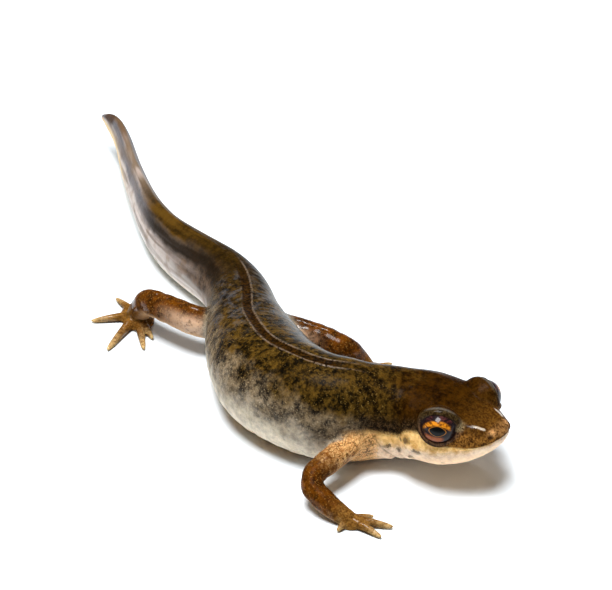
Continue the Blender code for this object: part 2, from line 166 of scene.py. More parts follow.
def body_point(along, sideways, above):
    """A point in the body's own directions: sideways is positive on the right."""
    centre, forward, right, up = spine_frame(np.array(float(along)))
    return centre + right * sideways + up * above


print("the spine ends at", body_point(TOTAL_LENGTH, 0, 0).round(1))

# %% [markdown]
# ## Rough flesh: lofts for the body, legs and toes
# Legs could be pulled out of the trunk face by face, but it's simpler to make each as its
# own closed tube, let them run into each other, and fuse them afterwards. A loft is a stack
# of rings joined by quads, so one function serves body, legs, palms and toes.

# %% The loft and its pieces
LEGS = {
    "foreleg_right": dict(
        points=((23.9, 0.9, 3.5), (25.9, -1.9, 3.3), (26.35, -4.2, 2.9), (26.5, -5.2, 2.65),
                (26.9, -6.0, 2.4), (27.7, -6.4, 2.0), (28.8, -6.2, 1.5), (30.6, -5.5, 0.75),
                (31.3, -5.1, 0.45)),
        radii=(1.35, 1.15, 1.10, 1.05, 0.98, 1.00, 1.00, 0.85, 0.75),
        palm=(31.3, -5.1), heading=28.0, palm_size=(1.15, 0.95),
        toes=((-104.0, 1.7), (-10.0, 3.4), (17.0, 3.8), (47.0, 2.2)),
    ),
    "foreleg_left": dict(
        points=((22.0, 2.2, 3.5), (20.2, 4.1, 3.3), (18.2, 6.3, 2.7), (19.1, 7.3, 1.8),
                (20.6, 8.1, 0.75), (21.5, 8.6, 0.45)),
        radii=(1.35, 1.10, 1.05, 1.10, 0.80, 0.75),
        palm=(21.4, 8.5), heading=38.0, palm_size=(1.10, 1.05),
        toes=((64.0, 1.9), (26.0, 3.2), (-8.0, 3.5), (-42.0, 2.2)),
    ),
    "hindleg_right": dict(
        points=((4.6, 0.2, 3.3), (2.6, -2.2, 3.35), (-0.2, -3.5, 3.5), (-2.9, -4.3, 3.3),
                (-4.3, -4.5, 1.9), (-5.1, -4.6, 0.7)),
        radii=(1.55, 1.45, 1.35, 1.25, 1.15, 1.05),
        palm=(-5.3, -4.5), heading=-105.0, palm_size=(1.60, 2.35),
        toes=((-74.0, 4.0), (-11.0, 4.5), (46.0, 6.0), (81.0, 5.4), (96.0, 4.0)),
    ),
    "hindleg_left": dict(
        points=((6.6, 2.6, 3.3), (8.4, 4.3, 3.3), (10.9, 5.7, 3.3), (13.1, 6.9, 2.9),
                (13.7, 8.2, 1.4), (14.4, 8.7, 0.55)),
        radii=(1.55, 1.35, 1.25, 1.20, 1.00, 0.85),
        palm=(14.6, 8.9), heading=10.0, palm_size=(1.35, 1.60),
        toes=((-45.0, 3.0), (-20.0, 3.9), (5.0, 4.3), (35.0, 3.4), (80.0, 2.5)),
    ),
}


def all_round(count):
    """Evenly spaced angles of a full turn."""
    return np.linspace(0, 2 * math.pi, count, endpoint=False)


class Flesh:
    """Collects closed lofts as one list of points and one list of faces."""

    def __init__(self):
        self.points = []
        self.faces = []

    def loft(self, rings, start=None, end=None):
        rows, around = rings.shape[:2]
        first = len(self.points)
        start = rings[0].mean(axis=0) if start is None else start
        end = rings[-1].mean(axis=0) if end is None else end
        self.points.extend(map(tuple, rings.reshape(-1, 3)))
        self.points.extend([tuple(start), tuple(end)])
        for i in range(rows - 1):
            for k in range(around):
                a = first + i * around + k
                b = first + i * around + (k + 1) % around
                self.faces.append((a, b, b + around, a + around))
        last = first + (rows - 1) * around
        for k in range(around):
            following = (k + 1) % around
            self.faces.append((first + rows * around, first + following, first + k))
            self.faces.append((first + rows * around + 1, last + k, last + following))


def tube_rings(centres, radii, around):
    """Round rings square to a path."""
    along = np.gradient(centres, axis=0)
    along /= np.linalg.norm(along, axis=1)[:, None]
    side = np.cross(along, (0, 0, 1.0))
    side /= np.linalg.norm(side, axis=1)[:, None]
    other = np.cross(side, along)
    turn = all_round(around)
    ring = (
        side[:, None] * np.cos(turn)[None, :, None] + other[:, None] * np.sin(turn)[None, :, None]
    )
    return centres[:, None] + ring * np.asarray(radii)[:, None, None]


BODY_AROUND = 150
flesh = Flesh()
stations = np.concatenate([np.linspace(0.06, 2.0, 30)[:-1], np.linspace(2.0, 76.8, 340)])
angles = all_round(BODY_AROUND)
above, below, wide, top, bottom = (line[:, None] for line in section(stations))
cosine = np.cos(angles)[None, :]
sine = np.sin(angles)[None, :]
pointed = np.where(sine > 0, top, bottom)
sideways = np.sign(cosine) * np.abs(cosine) ** pointed * wide
upward = np.sign(sine) * np.abs(sine) ** pointed * np.where(sine > 0, above, below)
centre, forward, right, up = spine_frame(stations)
rings = centre[:, None] + right[:, None] * sideways[..., None] + up[:, None] * upward[..., None]
flesh.loft(rings, body_point(0, 0, 0), body_point(TOTAL_LENGTH, 0, 0))
print("the body loft has", len(flesh.faces), "faces")

# %% [markdown]
# ## Legs, palms and toes
# A newt has four toes in front and five behind, and each leg is at its own moment of the step.
# So every leg has its own path, and its toes are short lofts that fan out from a flat palm.
# Toes made as separate objects would show a seam at the palm, so they join the same flesh.


# %% Legs, palms and toes
def distances(line):
    """How far each point of a line is from its first one, along it."""
    return np.concatenate([[0], np.cumsum(np.linalg.norm(np.diff(line, axis=0), axis=1))])


def leg_path(leg, count):
    """Evenly spaced centres and radii along a leg."""
    points = np.array(leg["points"])
    chord = distances(points)
    fine = np.linspace(0, chord[-1], 200)
    line = np.stack([smooth_through(chord, points[:, k], fine) for k in range(3)], -1)
    run = distances(line)
    radius = smooth_through(chord, leg["radii"], fine)
    even = np.linspace(0, run[-1], count)
    centres = np.stack([np.interp(even, run, line[:, k]) for k in range(3)], -1)
    return centres, np.interp(even, run, radius)


def toe_path(root, turned, length):
    """Centres and radii of a toe: thick at its root, a low knuckle, a round tip."""
    share = np.array([0.0, 0.2, 0.4, 0.55, 0.7, 0.82, 0.91, 0.97, 1.0])
    centres = np.stack(
        [
            root[0] + math.cos(turned) * share * length,
            root[1] + math.sin(turned) * share * length,
            0.46 - 0.20 * share + 0.10 * np.sin(share * math.pi) ** 2,
        ],
        -1,
    )
    radii = np.array([0.62, 0.50, 0.38, 0.33, 0.29, 0.25, 0.20, 0.14, 0.05])
    return centres, radii * (0.72 + 0.08 * length)


LEG_STEPS = 50
LEG_AROUND = 40
TOE_AROUND = 16
# Height and width of a palm's rings, from its underside up
PALM_RINGS = ((-0.1, 0.8), (0.05, 0.95), (0.3, 1.0), (0.55, 0.85), (0.72, 0.5))
toe_paths = []
for leg in LEGS.values():
    centres, radii = leg_path(leg, LEG_STEPS)
    flesh.loft(tube_rings(centres, radii, LEG_AROUND))
    turned = math.radians(leg["heading"])
    ahead = np.array([math.cos(turned), math.sin(turned)])
    across = np.array([-math.sin(turned), math.cos(turned)])
    long_half, wide_half = leg["palm_size"]
    circle = all_round(LEG_AROUND)
    palm = []
    for height, width in PALM_RINGS:
        plan = (
            np.array(leg["palm"])
            + ahead * (np.cos(circle) * long_half * width)[:, None]
            + across * (np.sin(circle) * wide_half * width)[:, None]
        )
        palm.append(np.column_stack([plan, np.full(LEG_AROUND, height)]))
    flesh.loft(np.array(palm))
    for bend, length in leg["toes"]:
        path = toe_path(leg["palm"], turned + math.radians(bend), length)
        flesh.loft(tube_rings(*path, TOE_AROUND))
        toe_paths.append(path[0])
print("flesh in the rough:", len(flesh.faces), "faces,", len(toe_paths), "toes")

# %% [markdown]
# ## One skin over all of it
# The overlapping tubes are fused by a voxel remesh, which keeps only the outer surface and
# gives even little quads, so every later fold has the same fineness. The remesh is done with
# a millimetre as the unit, because its smallest voxel is limited.

# %% Fuse the flesh
VOXEL = 0.10


def put_in_scene(name, data):
    made = bpy.data.objects.new(name, data)
    bpy.context.scene.collection.objects.link(made)
    return made


def plain_mesh(name, points, faces):
    mesh = bpy.data.meshes.new(name)
    mesh.from_pydata(points, [], faces)
    return put_in_scene(name, mesh)


rough = plain_mesh("rough_flesh", flesh.points, flesh.faces)
remesh = rough.modifiers.new("fuse", "REMESH")
remesh.mode = "VOXEL"
remesh.voxel_size = VOXEL
bpy.context.view_layer.update()
fused = bpy.data.meshes.new_from_object(
    rough.evaluated_get(bpy.context.evaluated_depsgraph_get())
)
bpy.data.objects.remove(rough, do_unlink=True)
count = len(fused.vertices)
points = np.empty(count * 3)
fused.vertices.foreach_get("co", points)
points = points.reshape(-1, 3)
edges = np.empty(len(fused.edges) * 2, dtype=np.int64)
fused.edges.foreach_get("vertices", edges)
edges = edges.reshape(-1, 2)
print("the fused skin has", count, "points")


# %% [markdown]
# ## Knowing where on the animal a point is
# Folds and markings follow the body, not the world. So each skin point is given its place:
# the distance along the spine, how far sideways and above the spine's axis it lies, and how
# far down which leg. The nearest spine point comes from a coarse search that three steps of
# sliding along the spine then refine.

# %% Places along the body
NEIGHBOURS = np.maximum(np.bincount(edges.ravel(), minlength=count), 1)[:, None]
AT_ONCE = 20000


def neighbour_mean(values):
    """Each point's mean over the points that share an edge with it."""
    a, b = edges[:, 0], edges[:, 1]
    total = np.empty_like(values)
    for k in range(values.shape[1]):
        total[:, k] = np.bincount(a, values[b, k], count) + np.bincount(b, values[a, k], count)
    return total / NEIGHBOURS


def soften(points, rounds, share):
    """Moves points their share of the way to the mean of their neighbours, in rounds."""
    for _ in range(rounds):
        points += share * (neighbour_mean(points) - points)


def places_along(points):
    """Distances along the spine, sideways from it and above it."""
    coarse = np.linspace(0, TOTAL_LENGTH, 309)
    plan = np.stack([np.interp(coarse, FINE, SPINE_X), np.interp(coarse, FINE, SPINE_Y)], -1)
    along = np.empty(len(points))
    for first in range(0, len(points), AT_ONCE):
        part = points[first:first + AT_ONCE, None, :2] - plan[None]
        along[first:first + AT_ONCE] = coarse[(part**2).sum(-1).argmin(1)]
    for _ in range(3):
        centre, forward, right, up = spine_frame(along)
        slid = along - ((points - centre) * forward).sum(-1)
        along = np.clip(slid, 0, TOTAL_LENGTH)
    centre, forward, right, up = spine_frame(along)
    away = points - centre
    return along, (away * right).sum(-1), (away * up).sum(-1)


def fade(value, low, high):
    """0 below low, 1 above high, smooth between; low may be the greater."""
    t = np.clip((value - low) / (high - low), 0, 1)
    return t * t * (3 - 2 * t)


def stretch(start, full, waning, end):
    """1 along a stretch of the body, fading in from start to full and out from waning to end."""
    return fade(along, start, full) * fade(along, end, waning)


along, side, above_axis = places_along(points)
above, below, wide, top, bottom = section(along)
level = above_axis / np.where(above_axis > 0, above, below)
pointed = np.where(above_axis > 0, top, bottom)
outside = (np.abs(side / wide) ** (2 / pointed) + np.abs(level) ** (2 / pointed)) ** (pointed / 2)

LEG_PROBES = 60
leg_share = np.zeros(count)
leg_depth = np.full(count, np.inf)
for leg in LEGS.values():
    centres, radii = leg_path(leg, LEG_PROBES)
    near = np.flatnonzero(np.linalg.norm(points - centres.mean(0), axis=1) < 12)
    for first in range(0, len(near), AT_ONCE):
        rows = near[first:first + AT_ONCE]
        gaps = np.linalg.norm(points[rows, None] - centres[None], axis=-1) - radii[None]
        nearest = gaps.argmin(1)
        depth = gaps[np.arange(len(rows)), nearest]
        closer = depth < leg_depth[rows]
        leg_depth[rows[closer]] = depth[closer]
        leg_share[rows[closer]] = nearest[closer] / (LEG_PROBES - 1)
foot_share = np.zeros(count)
for path in toe_paths:
    near = np.flatnonzero(np.linalg.norm(points - path.mean(0), axis=1) < 4)
    gaps = np.linalg.norm(points[near, None] - path[None], axis=-1)
    nearest = gaps.argmin(1)
    on_toe = gaps[np.arange(len(near)), nearest] < 0.75
    share = nearest / (len(path) - 1)
    foot_share[near] = np.maximum(foot_share[near], np.where(on_toe, share, 0))

# On a limb is what lies outside the body's section and near a leg, the toes, and all that
# stands far out
limb = fade(outside, 1.02, 1.20) * fade(leg_depth, 1.3, 0.5)
limb = np.maximum(limb, fade(foot_share, 0.0, 0.2))
limb = np.maximum(limb, (outside > 1.6) * 1.0)
print("points on the limbs:", int((limb > 0.5).sum()))

# %% [markdown]
# ## Soften the joins
# Where two tubes were fused there is a sharp valley. Flesh fills such a place with a soft
# web of skin, so the points near each root move towards the mean of their neighbours many
# times, and all else only three times, to take the voxels' steps out.

# %% Smooth the roots
root = fade(np.abs(outside - 1.15), 0.55, 0.1) * fade(leg_depth, 1.5, 0.2) * (leg_share < 0.7)
soften(points, 3, 0.5)
soften(points, 40, 0.5 * root[:, None])
print("softened points:", int((root > 0.1).sum()))


# %% Surface normals
def skin_normals(points):
    """Unit normals of the skin at its points."""
    fused.vertices.foreach_set("co", points.ravel())
    fused.update()
    normals = np.empty(count * 3)
    fused.vertex_normals.foreach_get("vector", normals)
    return normals.reshape(-1, 3)


def bump(value, width):
    """A round hill, 1 in its middle, of the given width."""
    return np.exp(-((value / width) ** 2))


normals = skin_normals(points)
print("normals point out:", bool(normals[points[:, 2].argmax(), 2] > 0))

# %% [markdown]
# ## Carve the head
# The mouth line runs low round the snout and dips at its corner behind the eye. A soft upper
# lip hangs over it. The nostrils are two small pits at the snout's upper corners, and a
# blunt ridge runs back from each to the eye.

# %% Mouth, lips, nostrils and ridges
MOUTH_CORNER = 7.4
MOUTH_DROP = (0.10, 1.05)
# The mouth's line, the upper lip and the hollow under the lower one: height above the line,
# how far the skin stands out there, and over what width
MOUTH_PROFILE = ((0.0, -0.08, 0.12), (0.36, 0.05, 0.26), (-0.45, -0.04, 0.35))
NOSTRIL_PLACE = (0.65, 1.35, 0.45)

head_part = fade(along, 13.0, 10.5) * fade(outside, 1.5, 1.2)
share = np.clip(along / MOUTH_CORNER, 0, 1.15)
mouth_line = -(MOUTH_DROP[0] + (MOUTH_DROP[1] - MOUTH_DROP[0]) * share**2)
from_mouth = above_axis - mouth_line
lip_length = fade(along, MOUTH_CORNER + 0.35, MOUTH_CORNER - 0.4) * head_part
carve = sum(out * bump(from_mouth - height, width) for height, out, width in MOUTH_PROFILE)
carve *= lip_length
corner = np.hypot(along - MOUTH_CORNER - 0.1, above_axis + MOUTH_DROP[1] + 0.05)
carve -= 0.10 * bump(corner, 0.32) * head_part
past_corner = fade(along, MOUTH_CORNER - 0.3, MOUTH_CORNER + 0.3)
carve += 0.06 * bump(corner - 0.55, 0.22) * head_part * past_corner

# What a point too far from a nostril or an eye to be measured carries
FAR_AWAY = 9.0
canthus_highlight = np.zeros(count)
nose_bump = np.zeros(count)
nostril_reach = np.full(count, FAR_AWAY)
for mirror in (1, -1):
    nostril = body_point(NOSTRIL_PLACE[0], mirror * NOSTRIL_PLACE[1], NOSTRIL_PLACE[2])
    reach = np.linalg.norm(points - nostril, axis=1)
    carve += -0.30 * bump(reach, 0.18) + 0.04 * bump(reach - 0.34, 0.14)
    nostril_reach = np.minimum(nostril_reach, reach)
    over_nostril = body_point(NOSTRIL_PLACE[0] - 0.1, mirror * 1.10, 0.85)
    swell = bump(np.linalg.norm(points - over_nostril, axis=1), 0.36)
    carve += 0.09 * swell
    nose_bump = np.maximum(nose_bump, swell)
    run = np.clip((along - 0.8) / 2.8, 0, 1)
    ridge_side = 1.20 + 1.03 * run
    ridge_above = 0.95 + 1.25 * run
    off = np.hypot(mirror * side - ridge_side, above_axis - ridge_above)
    crest = bump(off, 0.34) * stretch(0.9, 1.4, 2.8, 3.6)
    carve += 0.16 * crest
    # The narrow line along the ridge's crest, which later carries a painted highlight
    streak = bump(off, 0.20) * stretch(0.9, 1.3, 1.9, 2.9)
    canthus_highlight = np.maximum(canthus_highlight, streak)
carve -= 0.10 * bump(side, 0.9) * stretch(1.0, 2.4, 4.5, 6.5) * (level > 0)
carve += 0.10 * bump(np.abs(side) - 1.5, 0.7) * bump(along - 8.2, 1.5) * (level > 0)
points += normals * carve[:, None]
print("deepest carving on the head:", round(float(carve.min()), 2), "mm")

# %% [markdown]
# ## Lids round the eyes
# A newt's eye stands in a low dome. The upper lid is a thick soft fold, the lower one a thin
# rim, and between them the eyeball shows through an oval opening. Seen from the middle of
# the eyeball, all of this is one distance for each direction: the dome's radius outside the
# opening, and less than the eyeball's inside it, with a rounded edge between.

# %% The eyes' sizes and the lids
EYE_PLACE = (4.45, 3.10, 1.72)
EYE_SKEW = 0.25
EYE_RADIUS = 1.58
EYE_GAZE = (0.38, 0.85, 0.30)
LID_RADIUS = 1.84
LID_REACH = 3.2
# Room between eyeball and lid, and the least of it that smoothing may leave
LID_ROOM = 0.16
LEAST_ROOM = 0.12
# Half the opening's width and its two half heights, in degrees round the eyeball
OPENING_LONG = 66.0
OPENING_UP = 44.0
OPENING_DOWN = 42.0


def eye_axes(mirror):
    """Centre of an eye, where it looks, and its own forward and up directions.

    The head is turned a little on its neck, so the right eye lies further back.
    """
    along = EYE_PLACE[0] + mirror * EYE_SKEW
    centre, forward, right, up = spine_frame(np.array(along))
    look = forward * (EYE_GAZE[0] + 0.08 * mirror)
    look = look + right * mirror * EYE_GAZE[1] + up * EYE_GAZE[2]
    look = look / np.linalg.norm(look)
    ahead = forward - look * (forward @ look)
    ahead = ahead / np.linalg.norm(ahead)
    lift = np.cross(ahead, look) * mirror
    if lift[2] < 0:
        lift = -lift
    return body_point(along, mirror * EYE_PLACE[1], EYE_PLACE[2]), look, ahead, lift


lid_edge = np.full(count, FAR_AWAY)
lid_rise = np.full(count, -1.0)
slope = np.zeros(count)
eye_distance = np.full(count, FAR_AWAY)
for mirror in (1, -1):
    eye, look, ahead, lift = eye_axes(mirror)
    away = points - eye
    distance = np.linalg.norm(away, axis=1)
    unit = away / distance[:, None]
    facing = unit @ look
    polar = np.degrees(np.arccos(np.clip(facing, -1, 1)))
    turn = np.arctan2(unit @ lift, unit @ ahead)
    rise = np.sin(turn)
    opening_high = np.where(rise > 0, OPENING_UP, OPENING_DOWN)
    opening = 1 / np.sqrt((np.cos(turn) / OPENING_LONG) ** 2 + (rise / opening_high) ** 2)
    upper = fade(rise, -0.3, 0.6)
    brow = 0.08 * bump(polar - opening - 10, 10) + 0.26 * fade(polar, 60, 92)
    dome = LID_RADIUS + upper * brow
    near = distance < LID_REACH
    risen = fade(distance, dome + 0.75, dome - 0.25) * fade(polar, 125, 85)
    raised = np.maximum(distance, dome * risen + distance * (1 - risen))
    raised = np.maximum(raised, EYE_RADIUS + LID_ROOM)
    inside = fade(polar, opening + 5, opening - 5)
    rounded = raised - 0.10 * bump(polar - opening - 2, 7)
    wanted = rounded * (1 - inside) + (EYE_RADIUS - 0.30) * inside
    crease = bump(polar - opening - 30, 7) * 0.05 * (1 - upper)
    wanted = wanted - crease * (polar < 100) * (polar > opening)
    move = near & ((polar < 125) | (distance < EYE_RADIUS + LID_ROOM)) & (polar < 165)
    points[move] = (eye + unit * wanted[:, None])[move]
    rim = np.radians(polar - opening) * LID_RADIUS
    rim = np.sign(rim) * np.hypot(rim, np.maximum(distance - dome, 0))
    lid_edge[near] = rim[near]
    lid_rise[near] = rise[near]
    eye_distance[near] = distance[near]
    lid_slope = fade(distance, LID_REACH, 2.5) * fade(polar, 72, 96) * fade(polar, 170, 150)
    slope = np.maximum(slope, lid_slope)
soften(points, 24, 0.7 * slope[:, None])
for mirror in (1, -1):
    eye = eye_axes(mirror)[0]
    away = points - eye
    distance = np.linalg.norm(away, axis=1)
    shallow = (slope > 0) & (distance < EYE_RADIUS + LEAST_ROOM)
    points[shallow] = (eye + away * ((EYE_RADIUS + LEAST_ROOM) / distance)[:, None])[shallow]
soften(points, 2, (eye_distance < 3.0)[:, None] * 0.4)
print("eyes at", eye_axes(1)[0].round(1), "and", eye_axes(-1)[0].round(1))

# %% [markdown]
# ## Folds and wrinkles of the trunk
# A fold of skin crosses the throat and climbs the neck. Shallow grooves between the ribs
# cross the flanks, the skin is puckered across the hips, and two fine glossy ridges run down
# the middle of the back with a shallow trough between them.

# %% Trunk folds
RIB_SPACING = 1.28
WRINKLE_SPACING = 0.55
HIP_SPACING = 0.83
normals = skin_normals(points)
on_trunk = fade(outside, 1.35, 1.1)
rng = np.random.default_rng(7)


def wander(value, waves, size):
    """A gentle unevenness along a length: a few sines of unlike wavelength."""
    total = 0 * value
    for k in range(waves):
        total = total + np.sin(value * rng.uniform(0.5, 2.4) + rng.uniform(0, 6.28))
    return total * size / waves


fold_line = 10.6 + 2.3 * fade(level, -0.9, 0.05) + 1.3 * fade(level, 0.0, 0.5)
throat_fold = bump(along - fold_line, 0.30) * fade(level, 0.85, 0.5)
behind = bump(along - fold_line - 0.6, 0.45) * fade(level, 0.85, 0.5)
carve = (-0.22 * throat_fold + 0.09 * behind) * on_trunk
rib_phase = along + wander(above_axis, 3, 0.28) + 0.15 * np.abs(side)
on_flank = stretch(14.8, 17.0, 32.0, 35.0) * fade(level, 0.85, 0.45)
ribs = np.cos(rib_phase * 2 * math.pi / RIB_SPACING)
wrinkles = np.cos(rib_phase * 2 * math.pi / WRINKLE_SPACING + 2.2 * above_axis)
patchy = 0.55 + 0.45 * np.sin(along * 1.7 + wander(side, 3, 2.0)) * np.sin(above_axis * 0.9)
carve += on_trunk * on_flank * (0.040 * ribs + 0.014 * wrinkles) * patchy
hip = stretch(26.0, 31.0, 38.0, 43.0) * bump(np.abs(side) - 1.15, 0.9)
hip_phase = (along + 0.5 * np.abs(side)) * 2 * math.pi / HIP_SPACING
hip_fold = np.cos(hip_phase + wander(side * 2, 4, 2.2))
carve += on_trunk * hip * 0.022 * hip_fold * patchy * fade(level, 0.2, 0.5)
RIDGE_SIDE = 0.46
RIDGE_SHIFT = 0.25 * fade(along, 20.0, 26.0) - 0.55 * fade(along, 30.0, 36.0)
from_ridge = np.abs(side - RIDGE_SHIFT) - RIDGE_SIDE - wander(along, 4, 0.05)
back_run = stretch(12.5, 16.0, 38.5, 42.5) * (level > 0.5)
carve += back_run * (0.10 * bump(from_ridge, 0.10) - 0.06 * bump(side - RIDGE_SHIFT, 0.28))
keel = bump(side, 0.28) * stretch(38.0, 44.0, 74.0, 76.5)
carve += 0.10 * keel * (np.abs(level) > 0.6)
vent = np.hypot(along - 38.6, side * 0.9)
carve += 0.25 * bump(vent, 1.4) * fade(level, -0.3, -0.9)
grain = wander(points[:, 0] * 3.1, 4, 1.0) * wander(points[:, 1] * 2.7, 4, 1.0)
grain += wander(points[:, 2] * 3.7, 4, 1.0) * wander(points[:, 0] * 2.9 + 1.0, 4, 1.0)
carve += 0.016 * grain
knuckles = np.cos(leg_share * 2 * math.pi * 9) * bump(np.abs(leg_share - 0.6), 0.2)
carve += 0.03 * knuckles * limb * (foot_share < 0.05)
points += normals * carve[:, None]
soften(points, 1, 0.25)
points[:, 2] = np.maximum(points[:, 2], 0.0)
print("skin spans", (points.max(0) - points.min(0)).round(2), "mm")

# %% [markdown]
# ## The places go along as attributes
# The material can't ask a point which part of the animal it is on, so each measure becomes a
# named number on the mesh, which the node tree reads back.

# %% Finish the skin mesh
def carry(mesh, name, values):
    """Gives each point of a mesh its own number, under a name."""
    layer = mesh.attributes.new(name, "FLOAT", "POINT")
    layer.data.foreach_set("value", np.asarray(values, np.float32))


normals = skin_normals(points)
placed = (points - np.array([*BOX_MIDDLE, 0.0])) * MM
fused.vertices.foreach_set("co", placed.ravel())
fused.update()
skin = put_in_scene("newt_skin", fused)
fused.shade_smooth()
cavity = ((neighbour_mean(points) - points) * normals).sum(-1) / VOXEL
for _ in range(3):
    cavity = 0.5 * cavity + 0.5 * neighbour_mean(cavity[:, None])[:, 0]
measures = {
    "along": along,
    "ridge_side": side - RIDGE_SHIFT,
    "level": level,
    "limb": limb,
    "leg_share": leg_share,
    "foot_share": foot_share,
    "lid_edge": lid_edge,
    "lid_rise": lid_rise,
    "upward": normals[:, 2],
    "cavity": cavity,
    "canthus_highlight": canthus_highlight,
    "nose_bump": nose_bump,
    "nostril_reach": nostril_reach,
    "from_mouth": np.where(lip_length > 0.05, from_mouth, FAR_AWAY),
    "height": points[:, 2],
}
for name, values in measures.items():
    carry(fused, name, values)
print("the skin carries", len(measures), "measures")

# %% [markdown]
# ## A small language for materials
# Node trees are easier to read as formulas. Value wraps a node's output, so that + - * /
# build the Math nodes, and Paint makes any other node from its type, its settings and its
# inputs.


# %% Values and paint
class Value:
    """An output socket that can be used in Python arithmetic."""

    def __init__(self, paint, socket):
        self.paint = paint
        self.socket = socket

    def math(self, operation, *others):
        inputs = dict(enumerate((self, *others)))
        node = self.paint.node("ShaderNodeMath", {"operation": operation}, inputs)
        return Value(self.paint, node.outputs[0])

    def __add__(self, other):
        return self.math("ADD", other)

    def __sub__(self, other):
        return self.math("SUBTRACT", other)

    def __mul__(self, other):
        return self.math("MULTIPLY", other)

    def __truediv__(self, other):
        return self.math("DIVIDE", other)

    __radd__ = __add__
    __rmul__ = __mul__

    def __rsub__(self, other):
        return self * -1.0 + other

    def size(self):
        return self.math("ABSOLUTE")

    def most(self, other):
        return self.math("MAXIMUM", other)

    def least(self, other):
        return self.math("MINIMUM", other)

    def ramp(self, low, high):
        """0 at low and 1 at high, smooth between; low may be the greater."""
        if low > high:
            return 1 - self.ramp(high, low)
        settings = {"interpolation_type": "SMOOTHSTEP", "clamp": True}
        inputs = {"Value": self, "From Min": low, "From Max": high}
        return Value(self.paint, self.paint.node("ShaderNodeMapRange", settings, inputs).outputs[0])

    def tint(self, first, second, low, high):
        """A pattern painted in two colours: the first up to low, the second from high on."""
        return self.paint.mix(first, second, self.ramp(low, high))

    def hill(self, middle, width):
        """1 at middle, falling to 0 at width to either side."""
        return (self - middle).size().ramp(width, 0.0)


class Paint:
    """A material's node tree, and the one way of adding a node to it."""

    def __init__(self, name):
        self.material = bpy.data.materials.new(name)
        self.material.use_nodes = True
        self.tree = self.material.node_tree
        self.shader = self.tree.nodes["Principled BSDF"]

    def node(self, kind, settings, inputs):
        made = self.tree.nodes.new(kind)
        for name, value in settings.items():
            setattr(made, name, value)
        for key, value in inputs.items():
            self.feed(made, key, value)
        return made

    def feed(self, node, key, value):
        """Links or sets one input, found by its number, identifier or name."""
        if isinstance(key, int):
            socket = node.inputs[key]
        else:
            socket = next(s for s in node.inputs if key in (s.identifier, s.name) and s.enabled)
        if isinstance(value, Value):
            self.tree.links.new(value.socket, socket)
        else:
            socket.default_value = value

    def measure(self, name):
        node = self.node("ShaderNodeAttribute", {"attribute_name": name}, {})
        return Value(self, node.outputs["Fac"])

    def mix(self, first, second, share):
        """A colour between two others, each a value or red, green and blue."""
        first, second = ((*c, 1.0) if isinstance(c, tuple) else c for c in (first, second))
        inputs = {"Factor_Float": share, "A_Color": first, "B_Color": second}
        node = self.node("ShaderNodeMix", {"data_type": "RGBA"}, inputs)
        return Value(self, node.outputs[2])

    def layers(self, colour, *upper):
        """A colour with others laid over it in turn, each with its share."""
        for over, share in upper:
            colour = self.mix(colour, over, share)
        return colour

    def place(self, per_mm, stretch=(1.0, 1.0, 1.0)):
        """Object coordinates counted in millimetres, times per_mm."""
        where = Value(self, self.node("ShaderNodeTexCoord", {}, {}).outputs["Object"])
        scale = tuple(1000.0 * per_mm * s for s in stretch)
        node = self.node("ShaderNodeVectorMath", {"operation": "MULTIPLY"}, {0: where, 1: scale})
        return Value(self, node.outputs[0])

    def noise(self, per_mm, detail, roughness=0.55, stretch=(1.0, 1.0, 1.0)):
        return self.noise_at(self.place(per_mm, stretch), detail, roughness)

    def noise_at(self, where, detail, roughness, distortion=0.0):
        inputs = {"Vector": where, "Scale": 1.0, "Detail": detail, "Roughness": roughness}
        inputs["Distortion"] = distortion
        return Value(self, self.node("ShaderNodeTexNoise", {}, inputs).outputs["Fac"])

    def streaks(self, along_per_mm, across_per_mm, detail, roughness):
        """Noise that is drawn out along or across the body, and follows its bends."""
        parts = {
            "X": self.measure("along") * along_per_mm,
            "Y": self.measure("ridge_side") * across_per_mm,
            "Z": self.measure("height") * across_per_mm,
        }
        where = Value(self, self.node("ShaderNodeCombineXYZ", {}, parts).outputs[0])
        return self.noise_at(where, detail, roughness, 0.3)

    def grains(self, per_mm):
        """Distance from the nearest of many scattered points."""
        inputs = {"Vector": self.place(per_mm), "Scale": 1.0, "Randomness": 1.0}
        return Value(self, self.node("ShaderNodeTexVoronoi", {}, inputs).outputs["Distance"])

    def finish(self, **inputs):
        for name, value in inputs.items():
            self.feed(self.shader, name.replace("_", " "), value)
        return self.material


print("the shader language is ready")

# %% [markdown]
# ## The newt's colours
# The back is olive-brown, almost black in fine mottles, with gold flecks. Its middle carries
# a warm stripe. The flanks are paler and turn to grey-cream low down, and the belly is pale
# orange with dark dots. A dark band runs through the eye, over a cream stripe that reaches
# the shoulder. The tail is golden on top, with a dark streak below that. Every pattern is
# noise, placed by the measures that the mesh carries.

# %% Base colours of the trunk
paint = Paint("newt_skin")
along_v = paint.measure("along")
signed_side = paint.measure("ridge_side")
side_v = signed_side.size()
level_v = paint.measure("level")
limb_v = paint.measure("limb")
share_v = paint.measure("leg_share")
foot_v = paint.measure("foot_share")
rim_v = paint.measure("lid_edge")
rise_v = paint.measure("lid_rise")
lid_v = rise_v.ramp(-0.3, 0.6)
upward_v = paint.measure("upward")
cavity_v = paint.measure("cavity")
mouth_v = paint.measure("from_mouth")

broad = paint.noise(0.45, 3.0, 0.6)
mottle = paint.noise(1.3, 5.0, 0.72)
fine = paint.noise(3.2, 4.0, 0.7)
speck = paint.noise(6.5, 2.0, 0.6)

